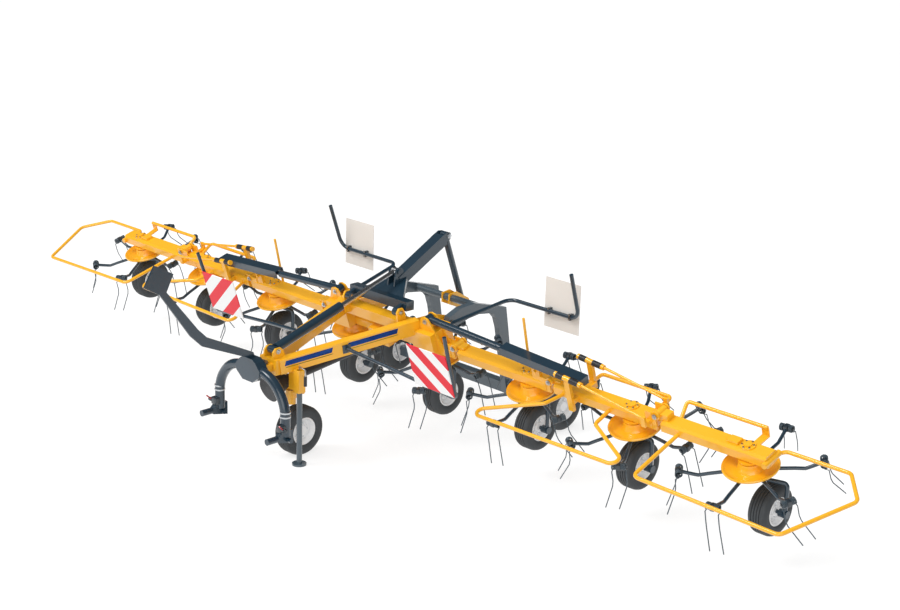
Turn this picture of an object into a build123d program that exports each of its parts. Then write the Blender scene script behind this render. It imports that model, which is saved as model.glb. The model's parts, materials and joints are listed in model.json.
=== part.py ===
from build123d import *
import os
from math import cos, pi, sin, radians

# Trailed eight-rotor rotary tedder, unfolded and raised on its carriage. Millimetres, +Z up, hitch towards -Y,
# wings along X. The origin is on the ground under the middle of the machine's bounding box.
os.makedirs("parts", exist_ok=True)

# Driving dimensions
rotor_line_y = 690.0        # the rotors' centre line, measured from the origin
spacing = 1036.0            # between neighbouring rotors
pitch = 18.0                # the working frame leans this far nose-down, degrees
disc_z = 741.0              # disc height on the rotor line
hinge_beyond = 272.0        # each wing hinge sits this far outboard of the rotor inside it
hinge_w, outer_hinge_w = 178.0, 205.0   # hinge axes above the disc plane
beam_width, beam_low, beam_top = 140.0, 68.0, 168.0
beam_gap = 40.0             # beam end to hinge axis
disc_radius, bore_radius = 208.0, 30.0
elbow_radius, head_radius, tip_radius = 373.0, 503.0, 626.0
elbow_w, head_w, tip_w = -58.0, -10.0, -301.0
arms = 6
trail_angle = 5.7           # tine tips lag their arm by this much, degrees
rotor_wheel_radius, rotor_wheel_width, rotor_wheel_z = 190.0, 150.0, 410.0
carriage_wheel_radius, carriage_wheel_width = 210.0, 165.0
jockey_radius, jockey_width = 205.0, 150.0
hoop_radius, hoop_w = 15.0, 104.0
pin_radius, running_gap = 15.0, 0.5

# The pitched plane that carries the beams and rotors: x is across the machine, y up to the rear, z its normal.
normal = (0, -sin(radians(pitch)), cos(radians(pitch)))
wing = Plane(origin=(0, rotor_line_y - 10, disc_z), x_dir=(1, 0, 0), z_dir=normal)


def at(x, y, z):
    """A point whose y is measured from the rotor line."""
    return Vector(x, rotor_line_y + y, z)


def on_wing(u, v, w):
    """A point in the pitched plane's own coordinates."""
    return wing.from_local_coords(Vector(u, v, w))


def bar(start, end, width, depth=None, sides=None):
    """A straight bar: rectangular with a depth, many-sided with sides, otherwise round."""
    run = end - start
    along_x = abs(run.normalized().X) > 0.9
    base = Plane(origin=start, x_dir=(0, 1, 0) if along_x else (1, 0, 0), z_dir=run)
    with BuildSketch(base) as section:
        if depth:
            Rectangle(width, depth)
        elif sides:
            RegularPolygon(width / 2, sides)
        else:
            Circle(width / 2)
    extrude(section.sketch, amount=run.length)


def bent_tube(points, radius, bend):
    """A round tube through points, with every corner bent to one radius."""
    with BuildLine() as route:
        FilletPolyline(*points, radius=bend)
    with BuildSketch(Plane(origin=route.line @ 0, z_dir=route.line % 0)) as section:
        Circle(radius)
    sweep(section.sketch, path=route.line)


def plate(outline, x_low, x_high):
    """A flat plate in a Y-Z plane from (y, z) corners, y measured from the rotor line."""
    with BuildSketch(Plane.YZ.offset(x_low)) as shape:
        with BuildLine():
            Polyline(*[(rotor_line_y + y, z) for y, z in outline], close=True)
        make_face()
    extrude(shape.sketch, amount=x_high - x_low)


def wing_box(u, v, w):
    """A box given by its low and high limits in the pitched plane."""
    with BuildSketch(wing.offset(w[0])) as shape:
        with Locations(((u[0] + u[1]) / 2, (v[0] + v[1]) / 2)):
            Rectangle(u[1] - u[0], v[1] - v[0])
    extrude(shape.sketch, amount=w[1] - w[0])


def beam(u_low, u_high):
    """A chamfered box beam across the machine."""
    half, edge = beam_width / 2, 18
    start = Plane(origin=on_wing(u_low, 0, 0), x_dir=wing.y_dir, z_dir=(1, 0, 0))
    with BuildSketch(start) as section:
        with BuildLine():
            Polyline(
                (-half, beam_low + edge), (-half + edge, beam_low), (half - edge, beam_low), (half, beam_low + edge),
                (half, beam_top - edge), (half - edge, beam_top), (-half + edge, beam_top), (-half, beam_top - edge),
                close=True,
            )
        make_face()
    extrude(section.sketch, amount=u_high - u_low)


def hinge_ears(u, w):
    """Two ears and the pin at a wing hinge, carried by the beam inboard of it."""
    for v in (-66, 52):
        wing_box((u - 95, u), (v, v + 14), (beam_low + 10, w + 20))
        bar(on_wing(u, v, w), on_wing(u, v + 14, w), 68)
    bar(on_wing(u, -74, w), on_wing(u, 74, w), 2 * pin_radius)


def knuckle(u, w):
    """The bored knuckle of the beam outboard of a hinge."""
    bar(on_wing(u, -46, w), on_wing(u, 46, w), 60)
    wing_box((u, u + 90), (-40, 40), (beam_top - 18, w + 10))
    with BuildSketch(Plane(origin=on_wing(u, -60, w), x_dir=(1, 0, 0), z_dir=wing.y_dir)) as hole:
        Circle(pin_radius + running_gap)
    extrude(hole.sketch, amount=120, mode=Mode.SUBTRACT)


def gear_housing(u):
    """The fixed gear case under a beam, over a rotor hub, and its bolted cover on top."""
    bar(on_wing(u, 0, 56), on_wing(u, 0, beam_low + 4), 170)
    bar(on_wing(u, 0, beam_top - 4), on_wing(u, 0, beam_top + 8), 112)
    bar(on_wing(u, 0, beam_top), on_wing(u, 0, beam_top + 18), 60)


def wing_plate(outline, v_low, v_high):
    """An upright plate across the machine from (u, w) corners, standing in the pitched plane."""
    with BuildSketch(Plane(origin=on_wing(0, v_high, 0), x_dir=(1, 0, 0), z_dir=-wing.y_dir)) as shape:
        with BuildLine():
            Polyline(*outline, close=True)
        make_face()
    extrude(shape.sketch, amount=v_high - v_low)


def write(part, name):
    part.label = name
    export_step(part, f"parts/{name}.step")


def write_pair(part, name):
    """The right-hand piece and its mirror image."""
    write(part, f"{name}_right")
    with BuildPart() as left:
        mirror(part, about=Plane.YZ)
    write(left.part, f"{name}_left")


rotor_x = [spacing * (n + 0.5) for n in range(4)]
hinge_a, hinge_b, hinge_c = [x + hinge_beyond for x in rotor_x[:3]]

# Main frame: centre beam, two towers, upper cross member, draft beams to the nose, jack sleeve
jack_x, jack_y = 195, -1235
mast_y, mast_z = -283, 1114
fold_pin = (550, -45, 384)
carriage_pivot_y, carriage_pivot_z = 200, 960
draft_front, draft_rear = at(70, -1345, 823), at(430, -180, 1010)
tower = [(430, 100), (700, 100), (712, 150), (604, 384), (589, 413), (550, 424), (511, 413), (494, 384), (470, 290)]
with BuildPart() as main_frame:
    beam(-hinge_a + beam_gap, hinge_a - beam_gap)
    wing_box((-420, 420), (-150, -60), (250, 350))
    for side in (1, -1):
        wing_box(sorted((side * 400, side * 640)), (-150, 90), (beam_low + 20, 300))
        for v in (fold_pin[1] - 50, fold_pin[1] + 38):
            wing_plate([(side * u, w) for u, w in tower], v, v + 12)
        bar(at(side * 70, -1345, 823), at(side * 430, -180, 1010), 80, 120)
        lug = sorted((side * 318, side * 336))
        plate([(-300, 960), (-200, 960), (-240, 1114), (-262, 1150), (-304, 1150), (-326, 1114)], *lug)
        bar(at(side * 336, mast_y, mast_z), at(side * 270, mast_y, mast_z), 2 * pin_radius)
        bar(on_wing(side * fold_pin[0], fold_pin[1] - 50, fold_pin[2]),
            on_wing(side * fold_pin[0], fold_pin[1] + 50, fold_pin[2]), 2 * pin_radius)
        rear = sorted((side * 345, side * 365))
        plate([(-120, 900), (60, 900), (240, 925), (240, 995), (60, 1040), (-120, 1040)], *rear)
        bar(at(side * 365, carriage_pivot_y, carriage_pivot_z), at(side * 455, carriage_pivot_y, carriage_pivot_z),
            2 * pin_radius)
        plate([(-1395, 870), (-1265, 880), (-1290, 945), (-1315, 968), (-1365, 968), (-1390, 940)],
              *sorted((side * 46, side * 60)))
    hinge_ears(hinge_a, hinge_w)
    mirror(about=Plane.YZ)
    wing_box((-110, 110), (-175, -60), (60, 195))
    with BuildSketch(Plane.XY.offset(762)):
        with Locations((0, rotor_line_y - 1345)):
            Rectangle(200, 100)
    extrude(amount=124)
    with BuildSketch(Plane.XY.offset(792)):
        with Locations((0, rotor_line_y - 1425)):
            Rectangle(120, 60)
        with Locations((0, rotor_line_y - 1450)):
            Circle(60)
            Circle(18 + running_gap, mode=Mode.SUBTRACT)
    extrude(amount=56)
    bar(at(-60, -1340, 940), at(60, -1340, 940), 2 * pin_radius)
    with BuildSketch(Plane.XY.offset(615)):
        with Locations((jack_x, rotor_line_y + jack_y)):
            Rectangle(66, 66)
        with Locations((jack_x - 75, rotor_line_y + jack_y + 20)):
            Rectangle(90, 60)
    extrude(amount=185)
    with BuildSketch(Plane.XY.offset(600)):
        with Locations((jack_x, rotor_line_y + jack_y)):
            Circle(24)
    extrude(amount=260, mode=Mode.SUBTRACT)
    for side in (1, -1):
        gear_housing(side * rotor_x[0])
write(main_frame.part, "main_frame")

# Wing segments, right-hand side; the left ones are mirrored
inner_hoop = [(1956, -62), (1905, -225), (1388, -600), (3015, -575), (2425, -249), (2409, -62)]
outer_hoop = [(3815, -81), (3815, 139), (4360, 139), (4560, -95), (4314, -641), (3072, -612), (3051, -52)]
rear_rail_v, rear_rail_w = 191, 211
with BuildPart() as inner_beam:
    beam(hinge_a + beam_gap, hinge_b - beam_gap)
    knuckle(hinge_a, hinge_w)
    hinge_ears(hinge_b, hinge_w)
    gear_housing(rotor_x[1])
    bar(on_wing(1508, 60, 150), on_wing(1508, 95, 575), 22)
    wing_box((1650, 1730), (-60, -30), (beam_top - 8, 250))
    bar(on_wing(1690, -76, 234), on_wing(1690, -14, 234), 24)
write_pair(inner_beam.part, "inner_beam")

with BuildPart() as middle_beam:
    beam(hinge_b + beam_gap, hinge_c - beam_gap)
    knuckle(hinge_b, hinge_w)
    hinge_ears(hinge_c, outer_hinge_w)
    gear_housing(rotor_x[2])
    bent_tube([on_wing(u, v, hoop_w) for u, v in inner_hoop], hoop_radius, 55)
    bent_tube([on_wing(2740, 60, 130), on_wing(2780, 232, 162), on_wing(2110, 232, 162),
               on_wing(2075, 60, 130)], 15, 30)
    # Lever brackets and the tie rods that work the outer fold: (v, foot w)
    for v, foot in ((-125, 40), (145, 90)):
        wing_box((2062, 2112), (v - 14, v + 14), (foot, 330))
        wing_box((2050, 2125), sorted((v / 2.2, v)), (beam_top - 60, beam_top - 20))
        bar(on_wing(1972, v, 336), on_wing(2226, v, 306), 44)
        bar(on_wing(2226, v, 306), on_wing(2800, v, 200), 22)
        wing_box((2775, 2815), sorted((v / 2.2, v)), (beam_top - 40, beam_top - 10))
        wing_box((2775, 2815), (v - 10, v + 10), (beam_top - 40, 215))
write_pair(middle_beam.part, "middle_beam")

with BuildPart() as outer_beam:
    beam(hinge_c + beam_gap, 3815)
    knuckle(hinge_c, outer_hinge_w)
    gear_housing(rotor_x[3])
    wing_box((3470, 3560), (-35, 35), (beam_top - 4, beam_top + 22))
    bar(on_wing(3815, -95, 118), on_wing(3815, 95, 118), 46)
    bent_tube([on_wing(u, v, hoop_w) for u, v in outer_hoop], hoop_radius, 55)
    bent_tube([on_wing(2985, 60, 130), on_wing(2960, rear_rail_v, rear_rail_w),
               on_wing(3660, rear_rail_v, rear_rail_w)], 15, 25)
    bar(on_wing(3630, 60, 130), on_wing(3640, rear_rail_v + 5, 140), 60, 10)
    wing_box((3610, 3670), (rear_rail_v - 5, rear_rail_v + 5), (135, rear_rail_w))
write_pair(outer_beam.part, "outer_beam")

# Rotor: dished disc, hub, cranked arms, and double tines on coils
with BuildPart() as rotor:
    with BuildSketch(Plane.XZ):
        with BuildLine():
            Polyline((bore_radius, -26), (150, -26), (disc_radius, -6), (disc_radius, 8), (188, 2), (150, -14),
                     (98, -10), (84, 50), (bore_radius, 50), close=True)
        make_face()
    revolve(axis=Axis.Z)
    for arm in range(arms):
        turn = 2 * pi * arm / arms

        def polar(radius, height, lead=0.0, across=0.0):
            angle = turn + radians(lead)
            x, y = radius * cos(angle), radius * sin(angle)
            return Vector(x - across * sin(turn), y + across * cos(turn), height)

        bar(polar(120, -36), polar(elbow_radius, elbow_w), 26, 26)
        bar(polar(elbow_radius - 10, elbow_w), polar(head_radius, head_w), 26, 26)
        bar(polar(head_radius, head_w, across=-62), polar(head_radius, head_w, across=62), 46, sides=8)
        for across in (-50, 50):
            knee = polar(head_radius + 34, head_w - 110, across=across)
            bar(polar(head_radius + 16, head_w, across=across), knee, 11, 11)
            bar(knee, polar(tip_radius, tip_w, trail_angle, across), 10, 10)

# Neighbours turn opposite ways, so they alternate in hand, and their arms start in mesh
for side, name in ((1, "right"), (-1, "left")):
    for n, x in enumerate(rotor_x):
        forward = (n % 2 == 1) == (side == 1)
        seat = Plane(origin=on_wing(side * x, 0, 0), x_dir=wing.x_dir, z_dir=wing.z_dir).location
        with BuildPart() as placed_rotor:
            hand = rotor.part if forward else rotor.part.mirror(Plane.XZ)
            add(hand.moved(seat * Rotation(0, 0, 35 if forward else 55)))
        write(placed_rotor.part, f"rotor_{n + 1}_{name}")


def wheel(name, centre, radius, width, rim_radius):
    """A tyre on its rim, with a bored hub; the axle lies along X."""
    half = width / 2
    with BuildPart() as whole:
        with BuildSketch(Plane(origin=centre, x_dir=(0, 0, 1), z_dir=(0, -1, 0))):
            with BuildLine():
                Polyline((pin_radius + running_gap, -half * 0.75), (45, -half * 0.75), (52, -half * 0.3),
                         (rim_radius - 14, -half * 0.3), (rim_radius, -half * 0.82), (rim_radius + 18, -half * 0.96),
                         (radius * 0.84, -half), (radius * 0.955, -half * 0.82), (radius, -half * 0.45),
                         (radius, half * 0.45), (radius * 0.955, half * 0.82), (radius * 0.84, half),
                         (rim_radius + 18, half * 0.96), (rim_radius, half * 0.82), (rim_radius - 14, half * 0.3),
                         (52, half * 0.3), (45, half * 0.75), (pin_radius + running_gap, half * 0.75), close=True)
            make_face()
        revolve(axis=Axis(centre, (1, 0, 0)))
    write(whole.part, name)


def stalk(x, wheel_x, wheel_y):
    """The fixed post through a rotor hub, cranked out and down to its wheel's axle."""
    out = wheel_x + 122
    post = on_wing(x, 0, -96)
    bent_tube([on_wing(x, 0, 56), post, at(out, wheel_y, 640), at(out, wheel_y, rotor_wheel_z - 20)], 16, 32)
    bar(at(out + 24, wheel_y, rotor_wheel_z), at(wheel_x + 78, wheel_y, rotor_wheel_z), 60)
    bar(at(wheel_x + 80, wheel_y, rotor_wheel_z), at(wheel_x - 50, wheel_y, rotor_wheel_z), 2 * pin_radius)


# Wheel centres measured from each rotor: the outermost wheels stand further out and back
wheel_shift = [(0, 48), (0, 48), (0, 48), (112, 115)]
for side, name in ((1, "right"), (-1, "left")):
    for n, x in enumerate(rotor_x):
        wheel_x, wheel_y = side * (x + wheel_shift[n][0]), wheel_shift[n][1]
        with BuildPart() as wheel_stalk:
            stalk(side * x, wheel_x, wheel_y)
        write(wheel_stalk.part, f"wheel_stalk_{n + 1}_{name}")
        wheel(f"rotor_wheel_{n + 1}_{name}", at(wheel_x, wheel_y, rotor_wheel_z), rotor_wheel_radius,
              rotor_wheel_width, 104)

# Headstock: swivel clevis, bow with its lower-link pins, and the hose holder
with BuildPart() as headstock:
    for low, high in ((774, 788), (852, 866)):
        with BuildSketch(Plane.XY.offset(low)):
            with Locations((0, rotor_line_y - 1450)):
                Circle(45)
            with Locations((0, rotor_line_y - 1500)):
                Rectangle(90, 100)
        extrude(amount=high - low)
    bar(at(0, -1450, 774), at(0, -1450, 880), 36)
    with BuildSketch(Plane.XZ.offset(-(rotor_line_y - 1556))) as cheeks:
        with BuildLine():
            Polyline((-62, 742), (62, 742), (138, 800), (150, 850), (96, 908), (60, 930), (-60, 930), (-96, 908),
                     (-150, 850), (-138, 800), close=True)
        make_face()
    extrude(cheeks.sketch, amount=44, both=True)
    bent_tube([at(-410, -1556, 395), at(-410, -1556, 640), at(-250, -1556, 835), at(250, -1556, 835),
               at(410, -1556, 640), at(410, -1556, 395)], 40, 285)
    for side in (1, -1):
        plate([(-1500, 330), (-1500, 440), (-1600, 440), (-1640, 400), (-1640, 360)],
              *sorted((side * 385, side * 435)))
        bar(at(side * 410, -1640, 385), at(side * 410, -1740, 385), 52)
        bar(at(side * 360, -1548, 365), at(side * 475, -1548, 365), 36)
write(headstock.part, "headstock")

with BuildPart() as hose_holder:
    plate([(-1530, 930), (-1545, 968), (-1990, 1182), (-2072, 1262), (-2349, 1604), (-2284, 1733), (-2451, 1826),
           (-2544, 1670), (-2412, 1596), (-2140, 1218), (-2035, 1118), (-1594, 930)], -8, 8)
write(hose_holder.part, "hose_holder")

# Jack leg with its foot, standing on the ground
with BuildPart() as jack_leg:
    bar(at(jack_x, jack_y, 10), at(jack_x, jack_y, 780), 45)
    bar(at(jack_x, jack_y, 0), at(jack_x, jack_y, 16), 116)
write(jack_leg.part, "jack_leg")

# Jockey wheel on a one-sided swivelling arm
jockey_y, swivel_y = -1075, -1158
with BuildPart() as jockey_bracket:
    bar(at(0, swivel_y, 502), at(0, swivel_y, 570), 96)
    for side in (1, -1):
        plate([(-1181, 550), (-1110, 550), (-1110, 640), (-1125, 772), (-1175, 764), (-1181, 640)],
              *sorted((side * 98, side * 110)))
    with BuildSketch(Plane.XY.offset(550)):
        with Locations((0, rotor_line_y - 1145.5)):
            Rectangle(220, 71)
    extrude(amount=16)
    with BuildSketch(Plane.XY.offset(495)):
        with Locations((0, rotor_line_y + swivel_y)):
            Circle(20 + running_gap)
    extrude(amount=90, mode=Mode.SUBTRACT)
with BuildPart() as jockey_yoke:
    bar(at(0, swivel_y, 450), at(0, swivel_y, 562), 40)
    bar(at(0, swivel_y, 450), at(0, swivel_y, 497), 80)
    with BuildSketch(Plane.XY.offset(450)):
        with Locations((-60, rotor_line_y + swivel_y)):
            Rectangle(120, 60)
    extrude(amount=40)
    bar(at(-108, swivel_y, 478), at(-108, jockey_y, jockey_radius), 60, 20)
    bar(at(-118, jockey_y, jockey_radius), at(50, jockey_y, jockey_radius), 2 * pin_radius)
write(jockey_bracket.part, "jockey_bracket")
write(jockey_yoke.part, "jockey_yoke")
wheel("jockey_wheel", at(0, jockey_y, jockey_radius), jockey_radius, jockey_width, 112)

# Driveline: guard cone at the input and guarded shaft back to the centre gearbox
with BuildPart() as driveline:
    with BuildSketch(Plane(origin=at(0, -1390, 612), z_dir=(0, cos(radians(pitch)), sin(radians(pitch))))):
        Circle(104)
    with BuildSketch(Plane(origin=at(0, -1225, 662), z_dir=(0, cos(radians(pitch)), sin(radians(pitch))))):
        Circle(62)
    loft()
    bar(at(0, -1240, 657), on_wing(0, -265, 128), 76)
    bar(on_wing(0, -280, 128), on_wing(0, -175, 128), 76)
write(driveline.part, "driveline")

# Lift linkage: mast, strut, cylinder
lift_foot = at(0, -1340, 940)
lift_eye = at(0, -38, 1352)
mast_tip = at(0, 530, 1567)
strut_foot = at(0, 770, 925)
lift_dir = (lift_eye - lift_foot).normalized()
with BuildPart() as mast:
    bar(at(-345, mast_y + 92, mast_z + 42), at(345, mast_y + 92, mast_z + 42), 86, 78)
    for side in (1, -1):
        bar(at(side * 262, mast_y, mast_z), at(side * 312, mast_y, mast_z), 72)
        plate([(mast_y - 26, mast_z - 20), (mast_y + 20, mast_z - 30), (mast_y + 92, mast_z + 4),
               (mast_y + 92, mast_z + 78), (mast_y - 10, mast_z + 34), (mast_y - 34, mast_z + 6)],
              *sorted((side * 272, side * 302)))
    with BuildSketch(Plane(origin=at(0, mast_y, mast_z), x_dir=(1, 0, 0), z_dir=(0, -176, 343))):
        with BuildLine():
            Polyline((-262, 100), (262, 100), (52, 375), (-52, 375), close=True)
        make_face()
    extrude(amount=14, both=True)
    bar(at(0, -20, 1262), at(0, 490, 1542), 104, 96)
    for side in (1, -1):
        plate([(440, 1490), (545, 1535), (560, 1567), (545, 1595), (500, 1600), (420, 1560)],
              *sorted((side * 38, side * 52)))
        plate([(-90, 1215), (20, 1270), (10, 1360), (-20, 1388), (-62, 1380), (-76, 1335)],
              *sorted((side * 32, side * 46)))
        bar(at(side * 46, -38, 1352), at(side * 56, -38, 1352), 40)
    bar(at(-52, 530, 1567), at(52, 530, 1567), 2 * pin_radius)
    with BuildSketch(Plane.YZ.offset(-360)):
        with Locations((rotor_line_y + mast_y, mast_z)):
            Circle(pin_radius + running_gap)
    extrude(amount=720, mode=Mode.SUBTRACT)
write(mast.part, "mast")

with BuildPart() as strut:
    strut_dir = (strut_foot - mast_tip).normalized()
    bar(mast_tip + strut_dir * 26, strut_foot - strut_dir * 30, 56)
    bar(mast_tip - Vector(30, 0, 0), mast_tip + Vector(30, 0, 0), 62)
    bar(strut_foot - Vector(30, 0, 0), strut_foot + Vector(30, 0, 0), 62)
    for eye in (mast_tip, strut_foot):
        with BuildSketch(Plane(origin=eye - Vector(60, 0, 0), x_dir=(0, 1, 0), z_dir=(1, 0, 0))) as hole:
            Circle(pin_radius + running_gap)
        extrude(hole.sketch, amount=120, mode=Mode.SUBTRACT)
write(strut.part, "strut")

with BuildPart() as lift_barrel:
    bar(lift_foot + lift_dir * 30, lift_foot + lift_dir * 735, 78)
    bar(lift_foot - Vector(38, 0, 0), lift_foot + Vector(38, 0, 0), 66)
    with BuildSketch(Plane(origin=lift_foot - Vector(60, 0, 0), x_dir=(0, 1, 0), z_dir=(1, 0, 0))) as hole:
        Circle(pin_radius + running_gap)
    extrude(hole.sketch, amount=120, mode=Mode.SUBTRACT)
    with BuildSketch(Plane(origin=lift_foot + lift_dir * 330, z_dir=lift_dir)) as bore:
        Circle(21)
    extrude(bore.sketch, amount=500, mode=Mode.SUBTRACT)
write(lift_barrel.part, "lift_barrel")

with BuildPart() as lift_rod:
    bar(lift_foot + lift_dir * 560, lift_eye - lift_dir * 20, 40)
    bar(lift_eye - Vector(26, 0, 0), lift_eye + Vector(26, 0, 0), 58)
    with BuildSketch(Plane(origin=lift_eye - Vector(60, 0, 0), x_dir=(0, 1, 0), z_dir=(1, 0, 0))) as hole:
        Circle(pin_radius + running_gap)
    extrude(hole.sketch, amount=120, mode=Mode.SUBTRACT)
write(lift_rod.part, "lift_rod")

# Wheel carriage: arched arms, axle beam, and the lever that the strut works
axle_y, carriage_wheel_x = 953, 1012
arch = [(150, 935), (170, 1010), (300, 1062), (475, 1074), (857, 967), (892, 776), (995, 165), (905, 165),
        (779, 789), (745, 885), (686, 945), (475, 975), (240, 915)]
with BuildPart() as carriage:
    for side in (1, -1):
        plate(arch, *sorted((side * 385, side * 445)))
        with BuildSketch(Plane.YZ.offset(min(side * 380, side * 450))) as hole:
            with Locations((rotor_line_y + carriage_pivot_y, carriage_pivot_z)):
                Circle(pin_radius + running_gap)
        extrude(hole.sketch, amount=70, mode=Mode.SUBTRACT)
        bar(at(side * 445, axle_y, carriage_wheel_radius), at(side * 915, axle_y, carriage_wheel_radius), 90, 90)
        bar(at(side * 910, axle_y, carriage_wheel_radius), at(side * 1050, axle_y, carriage_wheel_radius),
            2 * pin_radius)
    bar(at(-450, axle_y, carriage_wheel_radius), at(450, axle_y, carriage_wheel_radius), 90, 90)
    bar(at(-390, 600, 1000), at(390, 600, 1000), 64)
write(carriage.part, "wheel_carriage")

with BuildPart() as lift_lever:
    for side in (1, -1):
        plate([(560, 1040), (655, 1050), (800, 965), (818, 925), (800, 885), (680, 900), (560, 955)],
              *sorted((side * 36, side * 48)))
        bar(at(side * 48, 770, 925), at(side * 60, 770, 925), 40)
    bar(at(-48, 668, 960), at(48, 668, 960), 30)
    with BuildSketch(Plane.YZ.offset(-60)):
        with Locations((rotor_line_y + 600, 1000)):
            Circle(32.2)
    extrude(amount=120, mode=Mode.SUBTRACT)
write(lift_lever.part, "lift_lever")
for side, name in ((1, "right"), (-1, "left")):
    wheel(f"carriage_wheel_{name}", at(side * carriage_wheel_x, axle_y, carriage_wheel_radius),
          carriage_wheel_radius, carriage_wheel_width, 118)

# Wing fold cylinders: barrel on the tower, rod with its channel reaching out along the wing
link_u, link_w, channel_start = 2190, 277, 815
fold_start, fold_end = on_wing(*fold_pin), on_wing(link_u, fold_pin[1], link_w)
fold_dir = (fold_end - fold_start).normalized()
with BuildPart() as fold_barrel:
    bar(fold_start + fold_dir * 20, fold_start + fold_dir * 800, 62)
    bar(on_wing(550, fold_pin[1] - 30, fold_pin[2]), on_wing(550, fold_pin[1] + 30, fold_pin[2]), 72)
    with BuildSketch(Plane(origin=on_wing(550, fold_pin[1] - 60, fold_pin[2]), x_dir=(1, 0, 0),
                           z_dir=wing.y_dir)) as hole:
        Circle(pin_radius + running_gap)
    extrude(hole.sketch, amount=120, mode=Mode.SUBTRACT)
    with BuildSketch(Plane(origin=fold_start + fold_dir * 60, z_dir=fold_dir)) as bore:
        Circle(19)
    extrude(bore.sketch, amount=800, mode=Mode.SUBTRACT)
write_pair(fold_barrel.part, "fold_barrel")

with BuildPart() as fold_link:
    bar(fold_start + fold_dir * 480, fold_start + fold_dir * 1246, 36)
    channel = Plane(origin=fold_start + fold_dir * channel_start, x_dir=wing.y_dir, z_dir=fold_dir)
    reach = (fold_end - fold_start).length - channel_start
    with BuildSketch(channel) as section:
        with Locations((0, 6)):
            Rectangle(90, 70)
        Rectangle(76, 72, mode=Mode.SUBTRACT)
    extrude(section.sketch, amount=reach)
    for start in (1242 - channel_start, reach - 12):
        with BuildSketch(channel.offset(start)) as wall:
            with Locations((0, 6)):
                Rectangle(90, 70)
        extrude(wall.sketch, amount=12)
write_pair(fold_link.part, "fold_link")

# Warning boards on their arms, and rear marker plates on their bent tubes
board_v = -727
with BuildPart() as warning_boards:
    for side in (1, -1):
        wing_box(sorted((side * 1061, side * 1484)), (board_v - 4, board_v + 4), (326, 690))
write(warning_boards.part, "warning_boards")
with BuildPart() as board_arms:
    board_foot = draft_front + (draft_rear - draft_front) * 0.464
    flange = Plane(origin=board_foot, x_dir=(1, 0, 0), z_dir=draft_rear - draft_front)
    with BuildSketch(flange.offset(-35)) as pad:
        with Locations((44, 0)):
            Rectangle(8, 70)
    extrude(pad.sketch, amount=70)
    arm_v = board_v + 19.3
    bent_tube([board_foot + flange.x_dir * 45, on_wing(700, arm_v, 372), on_wing(1470, arm_v, 300),
               on_wing(1500, arm_v, 860)], 15, 40)
    mirror(about=Plane.YZ)
write(board_arms.part, "board_arms")

with BuildPart() as marker_tubes:
    wing_box((565, 635), (90, 98), (226, 298))
    bent_tube([on_wing(600, 94, 262), at(693, 630, 1141), at(1443, 645, 1138), at(1453, 506, 1545)], 17, 95)
    mirror(about=Plane.YZ)
write(marker_tubes.part, "marker_tubes")
with BuildPart() as marker_plates:
    for side in (1, -1):
        low, high = sorted((side * 1046, side * 1422))
        with BuildSketch(Plane.XZ.offset(-(rotor_line_y + 670))) as face:
            with Locations(((low + high) / 2, 1200)):
                Rectangle(high - low, 423)
        extrude(face.sketch, amount=-4)
write(marker_plates.part, "marker_plates")
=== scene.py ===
import bmesh
import bpy
import json
from math import cos, pi, radians, sin
from mathutils import Matrix, Vector

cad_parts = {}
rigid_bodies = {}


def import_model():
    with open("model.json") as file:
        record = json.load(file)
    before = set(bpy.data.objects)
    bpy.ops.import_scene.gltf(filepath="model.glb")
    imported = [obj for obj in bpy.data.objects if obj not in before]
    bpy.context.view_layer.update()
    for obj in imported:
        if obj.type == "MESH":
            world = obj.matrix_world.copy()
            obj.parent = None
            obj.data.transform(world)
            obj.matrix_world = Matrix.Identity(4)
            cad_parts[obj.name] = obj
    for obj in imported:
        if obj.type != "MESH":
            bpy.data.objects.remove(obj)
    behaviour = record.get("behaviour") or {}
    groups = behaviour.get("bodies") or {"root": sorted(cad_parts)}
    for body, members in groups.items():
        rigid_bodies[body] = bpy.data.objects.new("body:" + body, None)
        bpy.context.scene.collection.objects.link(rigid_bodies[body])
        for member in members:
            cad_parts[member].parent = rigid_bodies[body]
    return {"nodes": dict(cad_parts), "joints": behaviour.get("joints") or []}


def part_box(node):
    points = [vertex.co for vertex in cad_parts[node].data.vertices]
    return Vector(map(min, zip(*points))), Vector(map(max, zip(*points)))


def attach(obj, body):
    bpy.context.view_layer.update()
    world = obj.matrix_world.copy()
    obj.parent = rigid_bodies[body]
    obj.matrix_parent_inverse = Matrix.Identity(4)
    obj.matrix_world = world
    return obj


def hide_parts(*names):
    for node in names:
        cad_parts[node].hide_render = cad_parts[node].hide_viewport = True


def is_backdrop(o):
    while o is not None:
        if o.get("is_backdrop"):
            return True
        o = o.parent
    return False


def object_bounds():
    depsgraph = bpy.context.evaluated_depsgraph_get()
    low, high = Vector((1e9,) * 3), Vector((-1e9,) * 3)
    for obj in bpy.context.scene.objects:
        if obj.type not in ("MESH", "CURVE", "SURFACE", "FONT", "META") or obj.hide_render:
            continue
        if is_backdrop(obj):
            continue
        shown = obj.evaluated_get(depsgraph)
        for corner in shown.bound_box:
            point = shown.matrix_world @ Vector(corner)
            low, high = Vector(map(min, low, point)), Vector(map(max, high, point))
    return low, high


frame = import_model()
cad_low, cad_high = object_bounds()
joints = {joint["name"]: joint for joint in frame["joints"]}
nodes = frame["nodes"]

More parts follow.
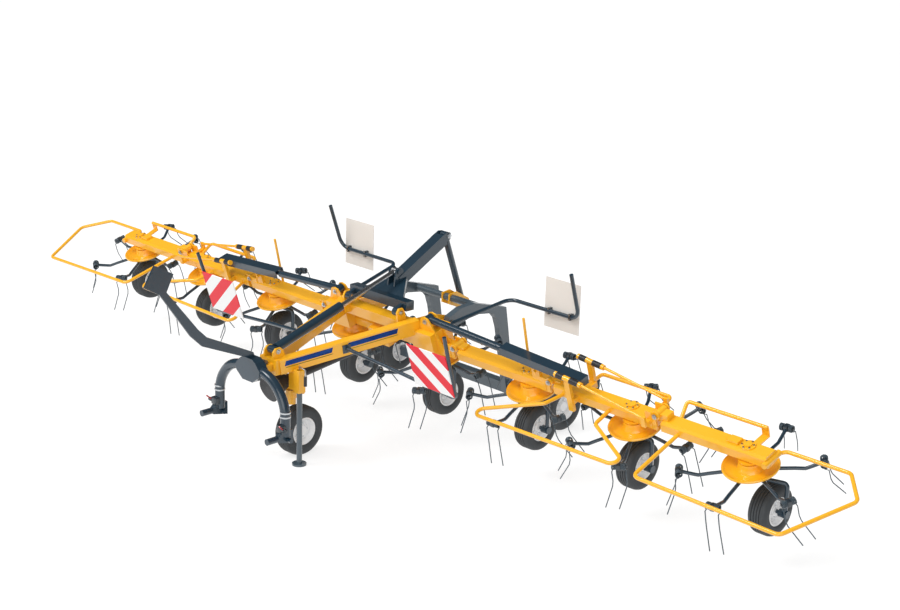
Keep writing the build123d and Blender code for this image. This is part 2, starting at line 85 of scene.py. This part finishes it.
# Camera: a long lens from ahead and to the right of the hitch, a little above the machine.
camera_data = bpy.data.cameras.new("camera")
camera_data.sensor_width, camera_data.lens = 36, 67.6
camera_data.clip_end = 200
camera = bpy.data.objects.new("camera", camera_data)
bpy.context.scene.collection.objects.link(camera)
camera.rotation_mode = "QUATERNION"
camera.rotation_quaternion = Matrix(((0.70445, -0.22812, 0.67209), (0.70915, 0.18732, -0.67972),
                                     (0.02916, 0.95544, 0.29373))).to_quaternion()
camera.location = (9.8304, -8.6325, 5.2203)
bpy.context.scene.camera = camera
bpy.context.scene.view_settings.view_transform = "Standard"


def linear(code):
    """An sRGB hex colour as linear red, green, blue and alpha."""
    parts = [int(code[i:i + 2], 16) / 255 for i in (1, 3, 5)]
    return (*[c / 12.92 if c < 0.04045 else ((c + 0.055) / 1.055) ** 2.4 for c in parts], 1.0)


def add(tree, kind, settings=None, **sockets):
    """A node with its settings; each socket is named with underscores for spaces, and gets a value or a link."""
    made = tree.nodes.new(kind)
    for name, value in (settings or {}).items():
        setattr(made, name, value)
    for name, value in sockets.items():
        key = int(name[1:]) if name[0] == "_" else name.replace("_", " ")
        if isinstance(value, bpy.types.NodeSocket):
            tree.links.new(value, made.inputs[key])
        else:
            made.inputs[key].default_value = value
    return made


# Studio: a white floor that keeps soft shadows, a white surround, a broad key from the front left, a fill from
# the front right and a softbox overhead, at a level where a colour renders about as it is written.
# Reflections see a bright floor and a dark sky, so upright faces look lit and flat tops stay deep in colour.
floor_material = bpy.data.materials.new("studio_floor")
floor_material.use_nodes = True
tree = floor_material.node_tree
tree.nodes.clear()
seen = add(tree, "ShaderNodeLightPath")
either = add(tree, "ShaderNodeMath", {"operation": "MAXIMUM"}, _0=seen.outputs["Is Camera Ray"],
             _1=seen.outputs["Is Glossy Ray"])
matt = add(tree, "ShaderNodeBsdfDiffuse", Color=(0.32, 0.32, 0.32, 1))
share = add(tree, "ShaderNodeMath", {"operation": "MULTIPLY"}, _0=either.outputs[0], _1=0.40)
share = add(tree, "ShaderNodeMath", {"operation": "ADD"}, _0=share.outputs[0], _1=0.34)
glow = add(tree, "ShaderNodeEmission", Color=(1, 1, 1, 1), Strength=share.outputs[0])
both = add(tree, "ShaderNodeAddShader", _0=matt.outputs[0], _1=glow.outputs[0])
add(tree, "ShaderNodeOutputMaterial", Surface=both.outputs[0])
floor_mesh = bpy.data.meshes.new("studio_floor")
sheet = bmesh.new()
bmesh.ops.create_grid(sheet, x_segments=1, y_segments=1, size=90)
sheet.to_mesh(floor_mesh)
floor = bpy.data.objects.new("studio_floor", floor_mesh)
floor.location = (0, 0, -0.001)
floor_mesh.materials.append(floor_material)
bpy.context.scene.collection.objects.link(floor)
floor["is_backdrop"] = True

world = bpy.data.worlds.new("studio")
bpy.context.scene.world = world
world.use_nodes = True
tree = world.node_tree
tree.nodes.clear()
seen = add(tree, "ShaderNodeLightPath")
level = add(tree, "ShaderNodeMix", {"data_type": "FLOAT"}, Factor=seen.outputs["Is Glossy Ray"])
level.inputs[2].default_value, level.inputs[3].default_value = 0.5, 0.06
whole = add(tree, "ShaderNodeMath", {"operation": "MAXIMUM"}, _0=seen.outputs["Is Camera Ray"], _1=level.outputs[0])
surround = add(tree, "ShaderNodeBackground", Color=(1, 1, 1, 1), Strength=whole.outputs[0])
add(tree, "ShaderNodeOutputWorld", Surface=surround.outputs[0])
suns = (("key", 1.35, 24, (-0.5, -0.7, 0.95)), ("fill", 1.2, 50, (0.6, -0.9, 0.25)))
for name, strength, spread, direction in suns:
    lamp_data = bpy.data.lights.new(name, "SUN")
    lamp_data.energy, lamp_data.angle = strength, radians(spread)
    lamp = bpy.data.objects.new(name, lamp_data)
    lamp.rotation_mode = "QUATERNION"
    lamp.rotation_quaternion = Vector(direction).to_track_quat("Z", "Y")
    bpy.context.scene.collection.objects.link(lamp)

soft_data = bpy.data.lights.new("overhead_softbox", "AREA")
soft_data.shape, soft_data.size, soft_data.size_y, soft_data.energy = "RECTANGLE", 14, 10, 420
softbox = bpy.data.objects.new("overhead_softbox", soft_data)
softbox.location = (-1, 0, 9)
softbox.visible_glossy = False
bpy.context.scene.collection.objects.link(softbox)


# Welded and bolted steelwork: gloss yellow two-pack enamel over primer, sprayed, so it has a faint orange peel
# about 6 mm across, slight drift in the yellow, and a clear hard reflection.
def enamel(name, colour, shade, rough, coat=0.8):
    peel_mm = 6.0
    made = bpy.data.materials.new(name)
    made.use_nodes = True
    tree = made.node_tree
    tree.nodes.clear()
    place = add(tree, "ShaderNodeTexCoord")
    drift = add(tree, "ShaderNodeTexNoise", Vector=place.outputs["Object"], Scale=2.2, Detail=3.0, Roughness=0.55)
    tone = add(tree, "ShaderNodeMix", {"data_type": "RGBA"}, Factor=drift.outputs["Fac"])
    tone.inputs[6].default_value, tone.inputs[7].default_value = linear(shade), linear(colour)
    dust = add(tree, "ShaderNodeTexNoise", Vector=place.outputs["Object"], Scale=38.0, Detail=4.0)
    gloss = add(tree, "ShaderNodeMapRange", Value=dust.outputs["Fac"], To_Min=rough * 0.8, To_Max=rough * 1.25)
    skin = add(tree, "ShaderNodeTexNoise", Vector=place.outputs["Object"], Scale=1000 / peel_mm, Detail=1.0)
    relief = add(tree, "ShaderNodeBump", Strength=0.06, Distance=0.001, Height=skin.outputs["Fac"])
    body = add(tree, "ShaderNodeBsdfPrincipled", Base_Color=tone.outputs[2], Roughness=gloss.outputs[0],
               Normal=relief.outputs[0], IOR=1.5, Coat_Weight=coat, Coat_Roughness=0.12)
    add(tree, "ShaderNodeOutputMaterial", Surface=body.outputs[0])
    return made


def dress(node, material):
    """The node's own mesh in one material."""
    nodes[node].data.materials.clear()
    nodes[node].data.materials.append(material)


yellow_enamel = enamel("yellow_two_pack_enamel", "#FDBB1F", "#F8B016", 0.34)
slate_enamel = enamel("slate_satin_enamel", "#4A5963", "#414F59", 0.42)
navy_enamel = enamel("navy_satin_enamel", "#1E3747", "#182E3C", 0.36)
yellow_nodes = ("main_frame", "lift_lever", "jockey_bracket", "jockey_yoke")
navy_nodes = ("headstock", "hose_holder", "mast", "lift_barrel", "strut", "board_arms", "marker_tubes")
for node in nodes:
    if "beam" in node or node in yellow_nodes:
        dress(node, yellow_enamel)
    elif node in ("jack_leg", "wheel_carriage"):
        dress(node, slate_enamel)
    elif node.startswith("fold_") or "stalk" in node or node in navy_nodes:
        dress(node, navy_enamel)


def finish_piece(name, shape, material, body, *replaced, smooth=35):
    """A bmesh as a named piece that rides on a body."""
    mesh = bpy.data.meshes.new(name)
    bmesh.ops.recalc_face_normals(shape, faces=shape.faces)
    shape.to_mesh(mesh)
    shape.free()
    mesh.materials.append(material)
    piece = bpy.data.objects.new(name, mesh)
    bpy.context.scene.collection.objects.link(piece)
    for face in mesh.polygons:
        face.use_smooth = True
    mesh.set_sharp_from_angle(angle=radians(smooth))
    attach(piece, body)
    if replaced:
        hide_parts(*replaced)


# Wheels: ribbed farm tyres on pressed white rims with a dished centre, a hub cap and five wheel nuts.
# The tyre and the rim are each turned about the axle.
tyre_rubber = bpy.data.materials.new("moulded_tyre_rubber")
tyre_rubber.use_nodes = True
tree = tyre_rubber.node_tree
tree.nodes.clear()
place = add(tree, "ShaderNodeTexCoord")
dust = add(tree, "ShaderNodeTexNoise", Vector=place.outputs["Object"], Scale=9.0, Detail=4.0)
tone = add(tree, "ShaderNodeMix", {"data_type": "RGBA"}, Factor=dust.outputs["Fac"])
tone.inputs[6].default_value, tone.inputs[7].default_value = linear("#33373A"), linear("#45494C")
grain = add(tree, "ShaderNodeTexNoise", Vector=place.outputs["Object"], Scale=420.0, Detail=2.0)
relief = add(tree, "ShaderNodeBump", Strength=0.25, Distance=0.0008, Height=grain.outputs["Fac"])
skin = add(tree, "ShaderNodeBsdfPrincipled", Base_Color=tone.outputs[2], Roughness=0.62, Normal=relief.outputs[0])
add(tree, "ShaderNodeOutputMaterial", Surface=skin.outputs[0])
white_rim = enamel("white_rim_enamel", "#FCFCFC", "#F2F3F4", 0.3)
zinc = bpy.data.materials.new("zinc_plated_steel")
zinc.use_nodes = True
tree = zinc.node_tree
tree.nodes.clear()
place = add(tree, "ShaderNodeTexCoord")
spangle = add(tree, "ShaderNodeTexNoise", Vector=place.outputs["Object"], Scale=160.0, Detail=3.0)
gloss = add(tree, "ShaderNodeMapRange", Value=spangle.outputs["Fac"], To_Min=0.28, To_Max=0.45)
skin = add(tree, "ShaderNodeBsdfPrincipled", Base_Color=linear("#C9CDD0"), Metallic=1.0, Roughness=gloss.outputs[0])
add(tree, "ShaderNodeOutputMaterial", Surface=skin.outputs[0])


def turned(profile, centre, steps=64):
    """A bmesh turned about the X axis through centre from closed (along, radius) corners."""
    shape = bmesh.new()
    ring = [shape.verts.new(centre + Vector((x, 0, r))) for x, r in profile]
    edges = [shape.edges.new((a, b)) for a, b in zip(ring, ring[1:] + ring[:1])]
    bmesh.ops.spin(shape, geom=ring + edges, cent=centre, axis=(1, 0, 0), angle=2 * pi, steps=steps, use_merge=True)
    return shape


for node in sorted(nodes):
    if "wheel_" not in node and not node.endswith("_wheel") or "stalk" in node or node == "wheel_carriage":
        continue
    low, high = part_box(node)
    centre, radius, half = (low + high) / 2, (high.z - low.z) / 2, (high.x - low.x) / 2
    rim = 0.54 * radius
    tyre = [(-half * 0.74, rim - 0.004), (-half * 0.9, rim + 0.006), (-half, rim + 0.03), (-half, radius * 0.8),
            (-half * 0.95, radius * 0.9), (-half * 0.8, radius * 0.965), (-half * 0.62, radius * 0.985)]
    for rib in (-0.45, -0.15, 0.15, 0.45):
        tyre += [(half * (rib - 0.05), radius * 0.995), (half * (rib - 0.04), radius * 0.97),
                 (half * (rib + 0.04), radius * 0.97), (half * (rib + 0.05), radius * 0.995)]
    tyre += [(half * 0.62, radius * 0.985), (half * 0.8, radius * 0.965), (half * 0.95, radius * 0.9),
             (half, radius * 0.8), (half, rim + 0.03), (half * 0.9, rim + 0.006), (half * 0.74, rim - 0.004)]
    shape = turned(tyre, centre)
    treads = [v for v in shape.verts if (v.co - centre).yz.length > radius * 0.98]
    scale = radius / max((v.co - centre).yz.length for v in treads)
    for v in treads:
        v.co.yz = centre.yz + (v.co - centre).yz * scale
    finish_piece(f"{node}_tyre", shape, tyre_rubber, node, node)
    dish = [(half * 0.86, rim + 0.008), (half * 0.93, rim), (half * 0.86, rim - 0.008), (half * 0.5, rim - 0.014),
            (half * 0.26, rim - 0.02), (half * 0.2, rim * 0.66), (half * 0.3, rim * 0.6), (half * 0.34, rim * 0.44),
            (half * 0.66, rim * 0.36), (half * 0.7, 0.0), (half * 0.6, 0.0)]
    dish = [(x, max(r, 0.001)) for x, r in dish]
    shell = dish + [(-x, r) for x, r in reversed(dish)]
    finish_piece(f"{node}_rim", turned(shell, centre), white_rim, node, smooth=28)
    nuts = bmesh.new()
    for side in (1, -1):
        for turn in range(5):
            angle = 2 * pi * turn / 5
            seat = centre + Vector((side * half * 0.3, rim * 0.52 * cos(angle), rim * 0.52 * sin(angle)))
            bmesh.ops.create_cone(nuts, segments=6, radius1=0.009, radius2=0.009, depth=0.016, cap_ends=True,
                                  matrix=Matrix.Translation(seat) @ Matrix.Rotation(pi / 2, 4, "Y"))
    finish_piece(f"{node}_nuts", nuts, zinc, node)

# Rotors: a pressed yellow disc with a raised rim and hub, six cranked tubular arms bolted under it, and on each
# arm a pair of sprung wire tines wound round a clamp. Neighbours are opposite hands.
spring_steel = enamel("blackened_spring_steel", "#46555F", "#36444E", 0.35, coat=0.2)
black_clamp = enamel("black_clamp_enamel", "#22303A", "#1B2831", 0.45)


def wire(name, routes, radius, material, body, sides=2):
    """Round wires or tubes along routes of points, as one piece."""
    data = bpy.data.curves.new(name, "CURVE")
    data.dimensions, data.bevel_depth, data.bevel_resolution, data.use_fill_caps = "3D", radius, sides, True
    for route in routes:
        spline = data.splines.new("POLY")
        spline.points.add(len(route) - 1)
        for point, position in zip(spline.points, route):
            point.co = (*position, 1)
    piece = bpy.data.objects.new(name, data)
    bpy.context.scene.collection.objects.link(piece)
    data.materials.append(material)
    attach(piece, body)


for node in sorted(n for n in nodes if n.startswith("rotor_") and "wheel" not in n):
    joint = joints[f"{node}_spin"]
    origin, up = Vector(joint["pos_m"]), Vector(joint["axis"]).normalized()
    forward = (int(node[6]) % 2 == 0) == node.endswith("right")
    hand, phase = (1, radians(35)) if forward else (-1, radians(55))
    across_x = Vector((1, 0, 0))
    across_y = up.cross(across_x)

    def place(radius, angle, height, across=0.0):
        x = radius * cos(angle) - across * sin(angle)
        y = radius * sin(angle) + across * cos(angle)
        return origin + across_x * x + across_y * y + up * height

    disc = bmesh.new()
    profile = [(0.030, -0.026), (0.150, -0.026), (0.196, -0.016), (0.206, -0.008), (0.208, 0.002), (0.204, 0.009),
               (0.197, 0.008), (0.188, 0.001), (0.165, -0.010), (0.135, -0.014), (0.104, -0.012), (0.097, -0.004),
               (0.090, 0.020), (0.084, 0.048), (0.030, 0.050)]
    ring = [disc.verts.new(place(r, 0, h)) for r, h in profile]
    edges = [disc.edges.new((a, b)) for a, b in zip(ring, ring[1:] + ring[:1])]
    bmesh.ops.spin(disc, geom=ring + edges, cent=origin, axis=up, angle=2 * pi, steps=72, use_merge=True)
    finish_piece(f"{node}_disc", disc, yellow_enamel, node, node)
    arms, tines, clamps = [], [], bmesh.new()
    arm_line = ((0.12, -0.037), (0.30, -0.049), (0.352, -0.055), (0.372, -0.057), (0.392, -0.051), (0.44, -0.034),
                (0.498, -0.012), (0.512, -0.008))
    bolt_radius, bolt_height, coil, coil_steps = 0.503, -0.010, 0.025, 12
    for turn in range(6):
        angle = phase + turn * pi / 3
        arms.append([place(r, angle, h) for r, h in arm_line])
        turned_by = Matrix((across_x, across_y, up)).transposed().to_4x4() @ Matrix.Rotation(angle, 4, "Z")
        block = bmesh.ops.create_cube(clamps, size=1.0)["verts"]
        bmesh.ops.scale(clamps, vec=(0.050, 0.034, 0.044), verts=block)
        bmesh.ops.transform(clamps, matrix=Matrix.Translation(place(0.505, angle, -0.010)) @ turned_by, verts=block)
        bolt = bmesh.ops.create_cone(clamps, segments=12, radius1=0.0085, radius2=0.0085, depth=0.118,
                                     cap_ends=True)["verts"]
        bolt_seat = Matrix.Translation(place(bolt_radius, angle, bolt_height))
        bmesh.ops.transform(clamps, matrix=bolt_seat @ turned_by @ Matrix.Rotation(pi / 2, 4, "X"), verts=bolt)
        for side in (1, -1):
            route = [place(0.508, angle, 0.012, side * 0.012)]
            for step in range(43):
                wound = pi / 2 - 2 * pi * step / coil_steps
                route.append(place(bolt_radius + coil * cos(wound), angle, bolt_height + coil * sin(wound),
                                   side * (0.020 + 0.0092 * step / coil_steps)))
            out = side * 0.053
            route += [place(0.531, angle, -0.045, out), place(0.538, angle, -0.120, out),
                      place(0.549, angle + hand * 0.012, -0.160, out),
                      place(0.626, angle + hand * radians(5.7), -0.301, out)]
            tines.append(route)
    wire(f"{node}_arms", arms, 0.0135, navy_enamel, node, sides=3)
    wire(f"{node}_tines", tines, 0.0042, spring_steel, node, sides=1)
    bmesh.ops.bevel(clamps, geom=[e for e in clamps.edges if e.calc_face_angle(0) > 1.2], offset=0.004, segments=2,
                    profile=0.5, affect="EDGES", material=-1)
    finish_piece(f"{node}_clamps", clamps, black_clamp, node)


# Warning boards: square sheet-steel panels faced with reflective film in red and white diagonal bands, 71 mm wide.
# The rear marker plates are the same sheet, plain off-white behind. The bands run down and outward on both boards.
def striped(name):
    board = 0.423
    made = bpy.data.materials.new(name)
    made.use_nodes = True
    tree = made.node_tree
    tree.nodes.clear()
    place = add(tree, "ShaderNodeTexCoord")
    split = add(tree, "ShaderNodeSeparateXYZ", Vector=place.outputs["Object"])
    low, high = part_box("warning_boards")
    aside = add(tree, "ShaderNodeMath", {"operation": "ABSOLUTE"}, _0=split.outputs["X"])
    across = add(tree, "ShaderNodeMath", {"operation": "DIVIDE"}, _0=aside.outputs[0], _1=board)
    down = add(tree, "ShaderNodeMath", {"operation": "DIVIDE"}, _0=split.outputs["Z"], _1=high.z - low.z)
    total = add(tree, "ShaderNodeMath", {"operation": "ADD"}, _0=across.outputs[0], _1=down.outputs[0])
    start = high.x / board + high.z / (high.z - low.z)
    along = add(tree, "ShaderNodeMath", {"operation": "SUBTRACT"}, _0=start, _1=total.outputs[0])
    bands = add(tree, "ShaderNodeMath", {"operation": "MULTIPLY"}, _0=along.outputs[0], _1=1.5)
    part = add(tree, "ShaderNodeMath", {"operation": "FRACT"}, _0=bands.outputs[0])
    red = add(tree, "ShaderNodeMath", {"operation": "LESS_THAN"}, _0=part.outputs[0], _1=0.5)
    cells = add(tree, "ShaderNodeTexVoronoi", Vector=place.outputs["Object"], Scale=260.0)
    relief = add(tree, "ShaderNodeBump", Strength=0.12, Distance=0.0005, Height=cells.outputs["Distance"])
    tone = add(tree, "ShaderNodeMix", {"data_type": "RGBA"}, Factor=red.outputs[0])
    tone.inputs[6].default_value, tone.inputs[7].default_value = linear("#FBFBFB"), linear("#EB2236")
    skin = add(tree, "ShaderNodeBsdfPrincipled", Base_Color=tone.outputs[2], Roughness=0.5, Normal=relief.outputs[0],
               Coat_Weight=0.1, Coat_Roughness=0.2)
    add(tree, "ShaderNodeOutputMaterial", Surface=skin.outputs[0])
    return made


dress("warning_boards", striped("red_white_reflective_film"))
dress("marker_plates", enamel("off_white_sheet_enamel", "#ECE8E2", "#E2DDD6", 0.45, coat=0.2))

# Shaft guard: ribbed black polythene tube over the drive shaft, with a bell at the tractor end.
guard_plastic = enamel("moulded_black_polythene", "#2E3033", "#26282B", 0.5, coat=0.1)
dress("driveline", guard_plastic)

# Lift cylinder rod: ground and hard-chromed.
chrome = bpy.data.materials.new("hard_chromed_rod")
chrome.use_nodes = True
tree = chrome.node_tree
tree.nodes.clear()
place = add(tree, "ShaderNodeTexCoord")
score = add(tree, "ShaderNodeTexNoise", Vector=place.outputs["Object"], Scale=300.0)
gloss = add(tree, "ShaderNodeMapRange", Value=score.outputs["Fac"], To_Min=0.22, To_Max=0.34)
skin = add(tree, "ShaderNodeBsdfPrincipled", Base_Color=linear("#E6E8EA"), Metallic=1.0, Roughness=gloss.outputs[0])
add(tree, "ShaderNodeOutputMaterial", Surface=skin.outputs[0])
dress("lift_rod", chrome)


def on_wing(u, v, w):
    """A point of the pitched working frame, from millimetres across, back and up from the disc plane."""
    lean, line_y, disc_z = radians(18), 680, 741
    return Vector((u, line_y + v * cos(lean) - w * sin(lean), disc_z + v * sin(lean) + w * cos(lean))) / 1000


def rod(shape, start, end, radius, segments=24):
    """A closed cylinder between two points, added to a bmesh."""
    run = end - start
    turn = Vector((0, 0, 1)).rotation_difference(run).to_matrix().to_4x4()
    return bmesh.ops.create_cone(shape, segments=segments, radius1=radius, radius2=radius, depth=run.length,
                                 cap_ends=True, matrix=Matrix.Translation((start + end) / 2) @ turn)["verts"]


# Pin heads: each pivot pin ends in a zinc-plated collar with a smaller bolt head on it, fixed where the pin is.
# The reach is the pin's half length from its joint.
reach = {"wing_fold": 74, "wing_float": 74, "outer_fold": 74, "fold_barrel_pivot": 50, "mast_pivot": 336,
         "strut_pivot": 52, "lift_barrel_pivot": 60, "carriage_lift": 455}
for name, joint in sorted(joints.items()):
    half = next((value / 1000 for start, value in reach.items() if name.startswith(start)), None)
    if half is None:
        continue
    centre, axis = Vector(joint["pos_m"]), Vector(joint["axis"]).normalized()
    heads = bmesh.new()
    for side in (1, -1):
        face = centre + axis * half * side
        rod(heads, face, face + axis * side * 0.007, 0.021)
        rod(heads, face + axis * side * 0.006, face + axis * side * 0.017, 0.012, 6)
    finish_piece(f"{name}_pin_heads", heads, zinc, joint["parent"])

# Gear case covers: six plated hexagon bolts round each cover on top of the beams.
carriers = {1: "chassis", 2: "inner_wing_", 3: "middle_wing_", 4: "outer_wing_"}
for name, joint in sorted(joints.items()):
    if name.startswith("rotor_") and "wheel" not in name:
        centre = Vector(joint["pos_m"])
        up = on_wing(0, 0, 1) - on_wing(0, 0, 0)
        bolts = bmesh.new()
        for turn in range(6):
            angle = pi * turn / 3 + 0.3
            foot = centre + (Vector((1, 0, 0)) * cos(angle) + up.cross(Vector((1000, 0, 0))) * sin(angle)) * 0.044
            rod(bolts, foot + up * 175, foot + up * 183, 0.0075, 6)
        number, side = int(name[6]), name.split("_")[2]
        finish_piece(f"{name[:-5]}_cover_bolts", bolts, zinc, carriers[number] + (side if number > 1 else ""))

# Grips: black moulded sleeves on the tie rods of the outer fold, two on each rod, one either side of its bracket.
for side, name in ((1, "right"), (-1, "left")):
    grips = bmesh.new()
    for v in (-125, 145):
        inner, outer = on_wing(side * 1972, v, 336), on_wing(side * 2226, v, 306)
        for low, high in ((0.08, 0.33), (0.58, 0.9)):
            rod(grips, inner.lerp(outer, low), inner.lerp(outer, high), 0.0235, 32)
    finish_piece(f"tie_rod_grips_{name}", grips, guard_plastic, f"middle_wing_{name}")

# Side bands: two lengths of plain blue film along the upper half of each draft beam's outer face, underlined.
blue_film = enamel("blue_vinyl_film", "#0D5FC6", "#0B57B6", 0.45, coat=0.1)
green_film = enamel("olive_vinyl_film", "#A8A03A", "#9A9433", 0.3, coat=0.4)
for side, name in ((1, "right"), (-1, "left")):
    front, back = Vector((side * 0.070, -0.655, 0.823)), Vector((side * 0.430, 0.510, 1.010))
    run = (back - front).normalized()
    out = Vector((side, 0, 0))
    out = (out - run * out.dot(run)).normalized()
    rise = out.cross(run) * side
    for label, film, low, high in (("band", blue_film, 0.002, 0.044), ("line", green_film, -0.014, -0.008)):
        strip = bmesh.new()
        for start, end in ((0.03, 0.36), (0.47, 0.83)):
            corners = []
            for along, height in ((start, low), (end, low), (end + 0.012, high), (start + 0.012, high)):
                corners.append(strip.verts.new(front.lerp(back, along) + out * 0.0406 + rise * height))
            face = strip.faces.new(corners)
            bmesh.ops.solidify(strip, geom=[face], thickness=0.0008)
        finish_piece(f"draft_beam_{label}_{name}", strip, film, "chassis")

# Marker plate clamps: two dark straps on each rear tube, with a plated nut through the plate.
straps, nuts = bmesh.new(), bmesh.new()
low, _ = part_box("marker_plates")
for side in (1, -1):
    for x in (1.12, 1.35):
        block = bmesh.ops.create_cube(straps, size=1.0)["verts"]
        bmesh.ops.scale(straps, vec=(0.022, 0.046, 0.052), verts=block)
        bmesh.ops.translate(straps, vec=(side * x, low.y - 0.021, 1.139), verts=block)
        for z in (1.122, 1.156):
            rod(nuts, Vector((side * x, low.y - 0.046, z)), Vector((side * x, low.y - 0.040, z)), 0.006, 6)
finish_piece("marker_straps", straps, black_clamp, "chassis")
finish_piece("marker_strap_nuts", nuts, zinc, "chassis")

# Lower-link latches: a dark hook block over each pin with a small red release lever, and a clamp ring on the leg.
latches, levers, rings = bmesh.new(), bmesh.new(), bmesh.new()
red_lever = enamel("red_lever_enamel", "#C4202C", "#B01A26", 0.35)
for side in (1, -1):
    leg = Vector((side * 0.410, -0.866, 0.0))
    block = bmesh.ops.create_cube(latches, size=1.0)["verts"]
    bmesh.ops.scale(latches, vec=(0.066, 0.070, 0.062), verts=block)
    bmesh.ops.translate(latches, vec=leg + Vector((0, -0.030, 0.462)), verts=block)
    rod(latches, leg + Vector((side * 0.020, -0.05, 0.46)), leg + Vector((side * 0.074, -0.05, 0.46)), 0.016)
    rod(levers, leg + Vector((side * 0.040, -0.060, 0.470)), leg + Vector((side * 0.046, -0.098, 0.505)), 0.006, 12)
    for z in (0.545, 0.580):
        rod(rings, leg + Vector((0, 0, z)), leg + Vector((0, 0, z + 0.012)), 0.0435, 48)
bmesh.ops.bevel(latches, geom=[e for e in latches.edges if e.calc_face_angle(0) > 1.2], offset=0.006, segments=2,
                profile=0.5, affect="EDGES", material=-1)
finish_piece("link_latches", latches, black_clamp, "headstock")
finish_piece("latch_levers", levers, red_lever, "headstock")
finish_piece("leg_clamp_rings", rings, zinc, "headstock")

# Jack crank: a plated crank on top of the jack with a black grip.
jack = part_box("jack_leg")
top = Vector(((jack[0].x + jack[1].x) / 2, (jack[0].y + jack[1].y) / 2, 0.800))
wire("jack_crank", [[top, top + Vector((0, 0, 0.026)), top + Vector((0.095, -0.02, 0.026)),
                     top + Vector((0.095, -0.02, -0.03))]], 0.007, zinc, "jack")
grip = bmesh.new()
rod(grip, top + Vector((0.095, -0.02, -0.025)), top + Vector((0.095, -0.02, -0.105)), 0.013)
finish_piece("jack_crank_grip", grip, guard_plastic, "jack")

low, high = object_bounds()
{"cad": [list(cad_low), list(cad_high)], "visual": [list(low), list(high)]}
